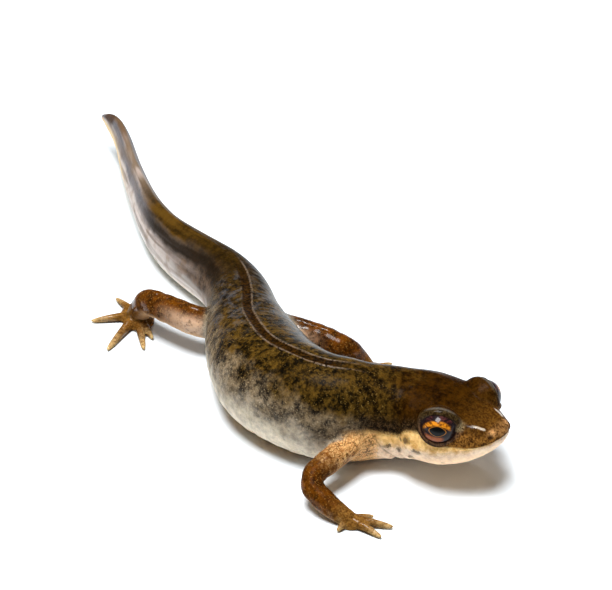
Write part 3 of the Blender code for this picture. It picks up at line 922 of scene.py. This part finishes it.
streaky = paint.streaks(1.1, 0.65, 3.0, 0.55)
lengthwise = paint.streaks(0.18, 1.5, 2.0, 0.45)
blend = mottle * 0.42 + fine * 0.30 + streaky * 0.28
back = paint.layers(
    blend.tint((0.003, 0.0018, 0.0006), (0.09, 0.047, 0.007), 0.43, 0.62),
    ((0.30, 0.185, 0.05), speck.ramp(0.58, 0.72) * broad.ramp(0.42, 0.6) * 0.5),
)
flank = paint.layers(
    blend.tint((0.014, 0.01, 0.007), (0.235, 0.17, 0.10), 0.40, 0.62),
    ((0.56, 0.43, 0.26), speck.ramp(0.57, 0.72) * 0.5),
)
low_flank = paint.layers(
    blend.tint((0.44, 0.37, 0.29), (0.92, 0.79, 0.60), 0.34, 0.66),
    ((0.28, 0.18, 0.08), fine.ramp(0.52, 0.68) * 0.35),
)
belly_dots = paint.grains(0.75).ramp(0.30, 0.22)
belly = paint.mix((0.62, 0.36, 0.16), (0.06, 0.04, 0.03), belly_dots * 0.75)

wavy = level_v + (broad - 0.5) * 0.9 + along_v.ramp(21.0, 15.0) * 0.30
trunk = paint.mix(flank, back, wavy.ramp(0.42, 0.85))
trunk = paint.mix(low_flank, trunk, wavy.ramp(-0.44, 0.46).most(along_v.ramp(30.0, 34.0) * 0.7))
# Grey painted sheen in patches over the hips
hip_sheen = paint.noise(0.9, 4.0, 0.65).ramp(0.46, 0.66) * along_v.ramp(25.0, 31.0)
hip_sheen = hip_sheen * level_v.ramp(0.10, 0.50)
hip_dark = along_v.ramp(28.0, 34.0) * level_v.ramp(0.1, 0.5)
stripe = side_v.ramp(0.50, 0.36) * level_v.ramp(0.4, 0.7) * along_v.ramp(13.0, 17.0)
stripe_colour = fine.tint((0.004, 0.0015, 0.0003), (0.034, 0.013, 0.0012), 0.40, 0.62)
trunk = paint.layers(
    paint.mix(belly, trunk, wavy.ramp(-0.85, -0.55)),
    ((0.008, 0.007, 0.007), hip_dark * 0.30),
    # painted sheen over the hips
    ((0.11, 0.105, 0.11), hip_sheen * 0.35),
    (stripe_colour, stripe * 0.9),
)
print("trunk colours mixed")

# %% [markdown]
# ## The head's colours
# From the top down the head is brown with gold grains, then has a dark band through the eye,
# a cream stripe over the lip, and a pale chin. An image could hold this, but its edges would
# blur near by. Here each edge is a level that changes with the distance from the snout, and
# noise roughens it, because a clean edge would look printed.

# %% The head's colours
grainy = fine * 0.5 + speck * 0.5
snout_colour = grainy.tint((0.045, 0.015, 0.002), (0.13, 0.055, 0.008), 0.40, 0.60)
head_top = paint.layers(
    blend.tint((0.005, 0.0015, 0.0002), (0.042, 0.015, 0.001), 0.36, 0.64),
    (back, (along_v + (broad - 0.5) * 5.0).ramp(7.5, 12.0) * 0.85),
    (snout_colour, along_v.ramp(5.5, 0.5) * 0.8),
    ((0.40, 0.20, 0.07), along_v.ramp(1.3, 0.1) * grainy.ramp(0.34, 0.60) * 0.55),
)
# The cream stripe's upper edge
band_low = along_v.ramp(0.0, 3.4) * 0.20 - 0.08 + along_v.ramp(4.6, 5.6) * 0.24
band_low = band_low - along_v.ramp(6.0, 10.0) * 0.21 + (fine - 0.5) * 0.14
cream_top = blend.tint((1.0, 0.64, 0.25), (0.60, 0.31, 0.08), 0.42, 0.62)
cream_low = blend.tint((1.0, 0.76, 0.55), (0.62, 0.44, 0.31), 0.42, 0.62)
cream = paint.mix(cream_low, cream_top, (level_v + (mottle - 0.5) * 0.5).ramp(-0.35, 0.05))
cream_dots = paint.grains(0.62).ramp(0.26, 0.16) * along_v.ramp(6.5, 7.5)
cream = paint.mix(cream, (0.10, 0.075, 0.05), cream_dots)
dark_band = grainy.tint((0.006, 0.003, 0.001), (0.056, 0.03, 0.012), 0.44, 0.62)
gold_grain = grainy.tint((0.03, 0.01, 0.002), (0.24, 0.105, 0.02), 0.38, 0.64)
dark_band = paint.mix(dark_band, gold_grain, along_v.ramp(4.6, 3.2))
lower_side = level_v - band_low
head = paint.mix(cream, dark_band, (lower_side + (grainy - 0.5) * 0.25).ramp(-0.08, 0.08))
top_share = (lower_side - along_v.ramp(4.6, 3.4) * 0.30).ramp(0.16, 0.44)
head = paint.mix(head, head_top, top_share)
# Each spot's distance from the snout, its level and its reach
CREAM_SPOTS = ((7.7, 0.07, 0.80), (6.5, -0.25, 0.65), (9.6, -0.27, 0.70), (11.3, -0.15, 0.45))
for spot_along, spot_level, reach in CREAM_SPOTS:
    off_along = along_v - spot_along
    off_level = level_v - spot_level
    off = (off_along * off_along + off_level * off_level * 24.0).math("SQRT")
    head = paint.mix(head, (0.05, 0.035, 0.022), (off + (fine - 0.5) * 1.4).ramp(reach, 0.25) * 0.8)
chin_dots = paint.grains(0.8).ramp(0.22, 0.12) * along_v.ramp(3.0, 6.0)
chin = paint.layers(
    mottle.tint((1.0, 0.71, 0.44), (0.88, 0.58, 0.38), 0.4, 0.65),
    (cream, mouth_v.ramp(-1.1, -0.2) * 0.75),
    ((0.12, 0.08, 0.06), chin_dots * 0.7),
)
jaw = mouth_v.ramp(0.20, -0.45) * along_v.ramp(8.0, 6.5)
throat = level_v.ramp(-0.25, -0.6) * along_v.ramp(6.0, 8.0)
head = paint.mix(head, chin, jaw.most(throat))
neck_end = (along_v + (fine - 0.5) * 1.5).ramp(12.8, 15.5)
# Brown nets cover the pale shoulder
net = (paint.noise(1.5, 2.0, 0.5) - 0.5).size().ramp(0.0, 0.035)
shoulder = grainy.tint((0.48, 0.20, 0.06), (0.90, 0.52, 0.20), 0.42, 0.58)
shoulder = paint.mix((0.045, 0.018, 0.006), shoulder, net * 0.85 + 0.08)
body = paint.mix(head, trunk, neck_end)
patch = (along_v + (fine - 0.5) * 1.2).ramp(12.2, 13.2) * along_v.ramp(15.8, 14.4)
patch = patch * level_v.ramp(0.24, 0.04)
body = paint.mix(body, shoulder, patch * 0.9)
print("head colours mixed")

# %% [markdown]
# ## The tail's colours
# The tail's top is golden and then grey-brown, and its sides are grey-cream, with a dark streak
# between that turns grey towards the tip. Its lower edge is pale, partly its own colour and partly
# painted light shining through the thin fin, and golden near the end.
# Painted stripes could give this, but noise drawn out lengthwise looks more like grown skin.

# %% The tail's colours
tail_base = mottle.tint((0.034, 0.022, 0.013), (0.15, 0.095, 0.06), 0.32, 0.68)
tail_side = lengthwise.tint((0.26, 0.21, 0.18), (0.60, 0.51, 0.46), 0.36, 0.64)
tail_side = paint.mix(tail_base, tail_side, along_v.ramp(41.0, 53.0))
tail_low = lengthwise.tint((0.62, 0.52, 0.45), (0.90, 0.83, 0.77), 0.34, 0.66)
tail_low = paint.mix(tail_side, tail_low, (level_v + (broad - 0.5) * 0.5).ramp(0.25, -0.45))
tail_low = paint.mix(tail_low, (0.24, 0.13, 0.06), paint.noise(0.7, 2.0).ramp(0.52, 0.66) * 0.35)
golden = blend * 0.5 + lengthwise * 0.5
golden = golden.tint((0.022, 0.011, 0.002), (0.088, 0.043, 0.006), 0.38, 0.60)
far_top = lengthwise.tint((0.17, 0.12, 0.08), (0.38, 0.31, 0.27), 0.36, 0.64)
far_top = paint.mix(far_top, (0.11, 0.06, 0.03), along_v.ramp(65.0, 71.0) * 0.8)
tail_top = paint.layers(
    blend.tint((0.01, 0.005, 0.001), (0.036, 0.018, 0.0025), 0.38, 0.66),
    (golden, along_v.ramp(42.0, 48.0) * 0.9),
    (far_top, along_v.ramp(53.0, 62.0) * 0.95),
)
# How far above the dark streak's middle
line = 0.84 - along_v.ramp(42.0, 48.0) * 0.12 + along_v.ramp(50.0, 62.0) * 0.12
from_line = level_v - line + (broad - 0.5) * 0.30
streak = from_line.ramp(-0.44, -0.16) * from_line.ramp(0.14, -0.04)
grey_streak = streak * along_v.ramp(50.0, 58.0) * (0.5 + lengthwise.ramp(0.36, 0.64) * 0.4)
tip_spot = along_v.hill(74.2, 2.6).ramp(0.0, 0.7) * level_v.hill(0.95, 0.75).ramp(0.0, 0.7)
tail = paint.layers(
    paint.mix(tail_low, tail_top, from_line.ramp(-0.26, 0.16)),
    ((0.01, 0.006, 0.003), streak * along_v.ramp(60.0, 51.0) * 0.92),
    ((0.07, 0.074, 0.088), grey_streak),
    # Pale lower edge: the fin's own colour, with painted light shining through the thin fin
    ((0.90, 0.76, 0.60), level_v.ramp(-0.30, -0.80) * 0.95),
    ((0.90, 0.62, 0.30), along_v.ramp(60.0, 68.0) * level_v.ramp(0.45, 0.0) * 0.85),
    ((0.05, 0.022, 0.008), tip_spot * 0.9),
)
body = paint.mix(body, tail, (along_v + (mottle - 0.5) * 3.0).ramp(35.5, 41.0))
print("tail colours mixed")

# %% [markdown]
# ## Legs, lids and last touches
# Legs are a warm brown with paler undersides, and toes are yellowish. Small marks come last, as
# thin layers over everything: the dark line inside the lids, a painted sheen on the upper lids,
# gold at the eye's front corner, a painted highlight along the ridge from nostril to eye, painted
# shade in the nostrils and along the mouth's groove, painted sheen lines on the back's ridges,
# and shade in every hollow. Layers keep each mark's colour and place together on one line.

# %% The limbs' colours
arm = (share_v + (mottle - 0.5) * 0.5).ramp(0.56, 0.22) * along_v.ramp(24.0, 20.0)
thigh = share_v.ramp(0.62, 0.25) * along_v.ramp(24.0, 28.0)
thigh = thigh * upward_v.ramp(0.95, 0.45) * blend.ramp(0.34, 0.54)
foot = grainy.tint((0.085, 0.034, 0.006), (0.24, 0.112, 0.022), 0.38, 0.64)
toe = grainy.tint((0.24, 0.13, 0.045), (0.62, 0.43, 0.19), 0.36, 0.60)
leg = paint.layers(
    blend.tint((0.016, 0.005, 0.001), (0.118, 0.035, 0.002), 0.38, 0.62),
    ((0.40, 0.20, 0.05), speck.ramp(0.57, 0.70) * 0.4),
    (shoulder, arm * 0.85),
    ((0.64, 0.42, 0.27), thigh * 0.8),
    ((0.50, 0.30, 0.16), upward_v.ramp(-0.1, -0.7) * 0.8),
    (foot, share_v.ramp(0.80, 1.0)),
    (toe, foot_v.ramp(0.25, 0.85) * 0.9),
)
print("limb colours mixed")

# %% Lids and last touches
upper_lid = grainy.tint((0.01, 0.006, 0.002), (0.062, 0.04, 0.015), 0.42, 0.62)
# A pale grey painted sheen along the upper lid's outer edge
lid_sheen = rim_v.hill(0.80, 0.30) * rise_v.ramp(0.60, 0.95)
upper_lid = paint.mix(upper_lid, (0.20, 0.18, 0.15), lid_sheen * 0.6)
lower_lid = grainy.tint((0.028, 0.012, 0.006), (0.13, 0.065, 0.03), 0.40, 0.60)
lid = paint.mix(lower_lid, upper_lid, lid_v)
near_lid = (rim_v / (0.42 + 0.58 * lid_v)).ramp(1.0, 0.6)
corner_gold = along_v.hill(3.2, 0.7) * level_v.hill(0.80, 0.13)
corner_gold = corner_gold * grainy.ramp(0.36, 0.54) * signed_side.ramp(-2.6, 0.0)
canthus_highlight = paint.measure("canthus_highlight")
nose = paint.measure("nose_bump").ramp(0.1, 1.0) * grainy.ramp(0.36, 0.56)
# Painted shade inside the nostril pits
nostril_shade = paint.measure("nostril_reach").ramp(0.34, 0.10)
# Pale painted sheen lines along the back's two ridges, left off the near side behind the hips; the
# coat also makes these lines glossy
ridge_sheen = (side_v - RIDGE_SIDE).size().ramp(0.13, 0.05) * level_v.ramp(0.5, 0.7)
ridge_sheen = ridge_sheen * along_v.ramp(13.0, 16.5) * along_v.ramp(42.0, 39.0)
near_end = signed_side.ramp(0.0, 0.2) * along_v.ramp(29.0, 33.0)
ridge_sheen = ridge_sheen * fine.ramp(0.36, 0.56) * (1 - near_end)
skin_colour = paint.layers(
    paint.mix(body, leg, limb_v),
    (lid, near_lid * 0.8),
    ((0.012, 0.005, 0.004), rim_v.ramp(0.17, 0.06)),
    ((0.70, 0.52, 0.26), corner_gold * 0.7),
    # a pale painted highlight along the ridge from nostril to eye
    ((0.80, 0.70, 0.56), canthus_highlight.ramp(0.45, 1.0) * 0.55),
    ((0.66, 0.34, 0.13), nose * 0.7),
    # painted shade in the nostril pits
    ((0.02, 0.007, 0.003), nostril_shade * 0.9),
    ((0.012, 0.006, 0.003), cavity_v.ramp(0.02, 0.12) * 0.35),
    # painted shade along the mouth's groove
    ((0.10, 0.045, 0.02), mouth_v.size().ramp(0.12, 0.02) * 0.12),
    # pale painted sheen lines on the back's ridges
    ((0.17, 0.12, 0.08), ridge_sheen * 0.6),
)
print("the whole skin's colour is mixed")

# %% [markdown]
# ## Wet skin
# A newt's skin is dull between wet places: the ridges, the lids, the far side of the body and
# patches on the legs. One glossy skin would look like glass, so a clear coat's weight follows
# those places. The finest warts are only 0.05 mm high, so a bump serves instead of geometry,
# and a little light passes under the surface, as it does in thin living skin.

# %% Wetness and fine warts
PIMPLE_HEIGHT = 0.05
pimples = paint.grains(3.4)
relief = pimples.ramp(0.6, 0.1) * 0.6 + fine * 0.5 + speck * 0.5
bump_node = paint.node(
    "ShaderNodeBump", {}, {"Strength": 0.6, "Distance": PIMPLE_HEIGHT * MM, "Height": relief}
)
wet_side = signed_side.ramp(-0.8, -2.2) * along_v.ramp(6.5, 9.5)
wet_limb = limb_v * paint.noise(0.8, 2.0, 0.5).ramp(0.53, 0.58)
wet_limb = wet_limb * (along_v.ramp(24.0, 28.0) * 0.45 + 0.35)
wet = ridge_sheen * 0.5 + canthus_highlight * 0.9 + near_lid * 0.15 + wet_side * 0.28 + wet_limb
wet = wet.least(0.9) + 0.015
rough = 0.33 + (fine - 0.5) * 0.3 - ridge_sheen * 0.1
skin.data.materials.clear()
skin.data.materials.append(
    paint.finish(
        Base_Color=skin_colour,
        Roughness=rough,
        Normal=Value(paint, bump_node.outputs["Normal"]),
        IOR=1.05,
        Coat_Weight=wet,
        Coat_Roughness=0.14,
        Coat_IOR=1.36,
        Subsurface_Weight=0.12,
        Subsurface_Radius=(0.0009, 0.0004, 0.0002),
        Subsurface_Scale=1.0,
    )
)
print("the skin has", len(paint.tree.nodes), "nodes")

# %% [markdown]
# ## The eyes
# The eyeball is one smooth ball with a slight bulge in front. A second clear shell could make
# the gloss, but a clear coat on one ball does as well and has no gap to catch dark rims. Each
# point carries how far ahead, up and outwards it lies, for the material to draw the iris by.


# %% Build the eyeballs
def eyeball(name, mirror):
    eye, look, ahead, lift = eye_axes(mirror)
    turn = all_round(96)
    rows = []
    for polar in np.linspace(0.5, 179.5, 70):
        a = math.radians(polar)
        bulge = EYE_RADIUS + 0.10 * math.exp(-((polar / 38.0) ** 2))
        ring = (
            np.outer(np.cos(turn), ahead) * math.sin(a)
            + np.outer(np.sin(turn), lift) * math.sin(a)
            + look * math.cos(a)
        )
        rows.append(eye + ring * bulge)
    ball = Flesh()
    ball.loft(np.array(rows))
    spots = np.array(ball.points)
    made = plain_mesh(name, list(map(tuple, (spots - (*BOX_MIDDLE, 0)) * MM)), ball.faces)
    away = spots - eye
    for label, axis in (("iris_x", ahead), ("iris_y", lift), ("iris_z", look)):
        carry(made.data, label, away @ axis)
    made.data.shade_smooth()
    return made


eyes = {"eye_right": eyeball("eyeball_right", 1), "eye_left": eyeball("eyeball_left", -1)}
print("eyeballs:", ", ".join(eye.name for eye in eyes.values()))

# %% [markdown]
# ## The iris
# The pupil is an almond: it lies where two powers of the distances ahead and up add up to less
# than 1, and the gold ring is where they add up to a little more. Gold fills a band above it
# and copper one below it. The sides stay dark, so the band through the head seems to run on.

# %% The iris
paint = Paint("newt_eye")
x = paint.measure("iris_x")
y = paint.measure("iris_y")
z = paint.measure("iris_z")
flecks = paint.noise(3.2, 3.0, 0.6)
y = y + 0.10
pupil = (x.size() / 0.68).math("POWER", 1.5) + (y.size() / 0.42).math("POWER", 1.8)
bend = x * x * 0.20
rays = paint.noise(1.6, 3.0, 0.6, (1.0, 1.0, 6.0))
dusk_share = rays.ramp(0.45, 0.65) * y.ramp(0.6, 1.0)
dusk = paint.mix((0.01, 0.004, 0.005), (0.085, 0.022, 0.02), dusk_share)
gold = flecks * 0.5 + rays * 0.5
gold = gold.tint((0.06, 0.014, 0.002), (0.56, 0.19, 0.009), 0.40, 0.56)
above_pupil = (y + bend * 1.6).hill(0.66, 0.30) * (x + 0.10).size().ramp(1.35, 0.8)
below_pupil = (y - bend).hill(-0.74, 0.32) * (x + 0.25).size().ramp(1.0, 0.4)
iris = paint.layers(
    paint.mix(dusk, gold, (above_pupil * 1.8).least(1.0)),
    ((0.34, 0.08, 0.014), (below_pupil * 1.6).least(1.0) * 0.9),
    ((0.42, 0.15, 0.012), (pupil - 1.12).size().ramp(0.14, 0.04) * 0.75),
    ((0.002, 0.002, 0.002), pupil.ramp(1.06, 0.98)),
    ((0.006, 0.004, 0.005), z.ramp(0.90, 0.55) * 0.95),
)
eye_material = paint.finish(
    Base_Color=iris,
    Roughness=0.40,
    Specular_IOR_Level=0.05,
    Coat_Weight=0.8,
    Coat_Roughness=0.02,
    Coat_IOR=1.27,
)
for eye in eyes.values():
    eye.data.materials.append(eye_material)
print("the iris has", len(paint.tree.nodes), "nodes")

# %% [markdown]
# ## Stand the pieces on the frame
# The skin stands for every node of flesh, and each eyeball for its own.

# %% Ride and replace
flesh_nodes = [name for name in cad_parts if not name.startswith("eye")]
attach(skin, "root")
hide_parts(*flesh_nodes)
for name, eye in eyes.items():
    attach(eye, "root")
    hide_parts(name)
print("the skin stands for", len(flesh_nodes), "nodes")

# %% [markdown]
# ## Light and camera
# The animal stands on white with one soft lamp overhead, which throws a small soft shadow
# under the chin, and one small weak lamp behind it, which sparkles in the eye. The
# surroundings are bright near the floor and darker above, so wet skin is pale only where
# it's seen at a grazing angle.

# %% Floor
bpy.ops.mesh.primitive_plane_add(size=4.0, location=(0, 0, 0))
floor = bpy.context.object
floor.name = "table"
paint = Paint("white_table")
white = paint.mix((0.82, 0.88, 0.93), (0.80, 0.86, 0.91), paint.noise(0.01, 2.0))
floor.data.materials.append(
    paint.finish(Base_Color=white, Roughness=0.6, Specular_IOR_Level=0.2)
)
print("the table is", floor.dimensions.x, "m wide")


# %% Lamps and surroundings
def softbox(name, place, size, watts):
    """A square lamp that shines at the animal from place, in metres."""
    lamp = bpy.data.lights.new(name, "AREA")
    lamp.shape = "SQUARE"
    lamp.size = size
    lamp.energy = watts
    made = put_in_scene(name, lamp)
    made.location = place
    made.rotation_euler = (-Vector(place)).to_track_quat("-Z", "Y").to_euler()


softbox("overhead", place=(0.012, -0.05, 0.36), size=0.17, watts=2.66)
softbox("far_window", place=(-0.26, 0.17, 0.32), size=0.055, watts=0.20)
world = bpy.data.worlds.new("surroundings")
bpy.context.scene.world = world
world.use_nodes = True
nodes, links = world.node_tree.nodes, world.node_tree.links
where = nodes.new("ShaderNodeTexCoord")
parts = nodes.new("ShaderNodeSeparateXYZ")
links.new(where.outputs["Generated"], parts.inputs[0])
sky = nodes.new("ShaderNodeValToRGB")
sky.color_ramp.elements[0].position = 0.0
sky.color_ramp.elements[0].color = (0.74, 0.88, 1.0, 1.0)
sky.color_ramp.elements[1].position = 0.30
sky.color_ramp.elements[1].color = (0.07, 0.075, 0.085, 1.0)
links.new(parts.outputs["Z"], sky.inputs["Fac"])
links.new(sky.outputs["Color"], nodes["Background"].inputs["Color"])
nodes["Background"].inputs["Strength"].default_value = 0.42
bpy.context.scene.view_settings.view_transform = "Standard"
print("lit by two softboxes and pale surroundings")

# %% Camera
LOOKS_AT = (0.284, 11.311, 0.0)
STANDS_AT = (154.93, -93.00, 125.82)
LENS = 135.27
SENSOR_WIDTH = 36.0
shift = Vector((*BOX_MIDDLE, 0.0))
aim = (Vector(LOOKS_AT) - shift) * MM
eye_point = (Vector(STANDS_AT) - shift) * MM
camera_data = bpy.data.cameras.new("photo_view")
camera_data.lens = LENS
camera_data.sensor_width = SENSOR_WIDTH
camera_data.sensor_fit = "HORIZONTAL"
camera_data.clip_start = 0.005
camera = put_in_scene("photo_view", camera_data)
camera.location = eye_point
camera.rotation_euler = (aim - eye_point).to_track_quat("-Z", "Y").to_euler()
bpy.context.scene.camera = camera
print("the camera is", round((aim - eye_point).length, 3), "m away")
